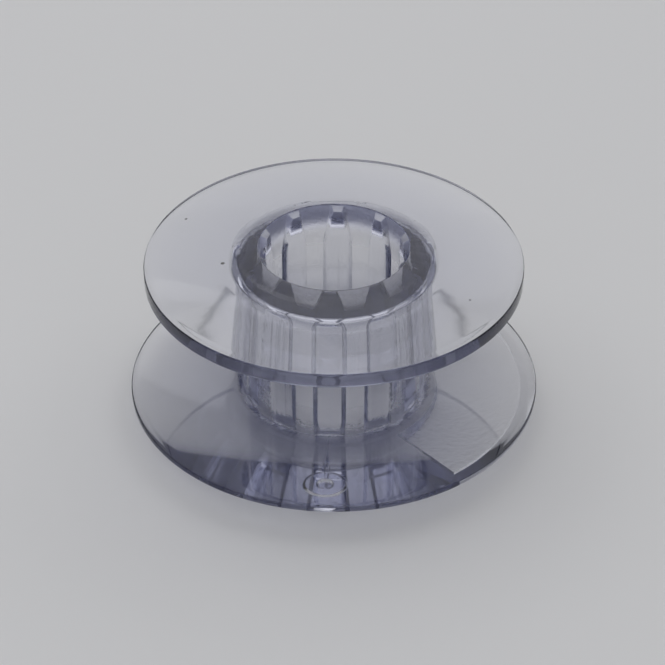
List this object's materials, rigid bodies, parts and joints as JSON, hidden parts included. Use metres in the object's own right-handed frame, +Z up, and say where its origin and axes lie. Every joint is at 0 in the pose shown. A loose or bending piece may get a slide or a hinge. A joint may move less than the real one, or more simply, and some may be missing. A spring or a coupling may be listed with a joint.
{
  "type": "sewing machine bobbin",
  "caption": "Clear moulded thread bobbin with two domed flanges of unequal size on a hollow hub, toothed inside for a winding spindle.",
  "frame": {"origin": "centre of the hub's lower end, where the bobbin stands", "axes": "+Z up along the hub's axis, towards the smaller flange; -Y towards the gate mark on the larger flange"},
  "size_m": [0.0222, 0.0222, 0.0103],
  "materials": {
    "clear_plastic": "clear, polished, slightly violet"
  },
  "bodies": {
    "root": {"bobbin": "clear_plastic"}
  },
  "joints": []
}
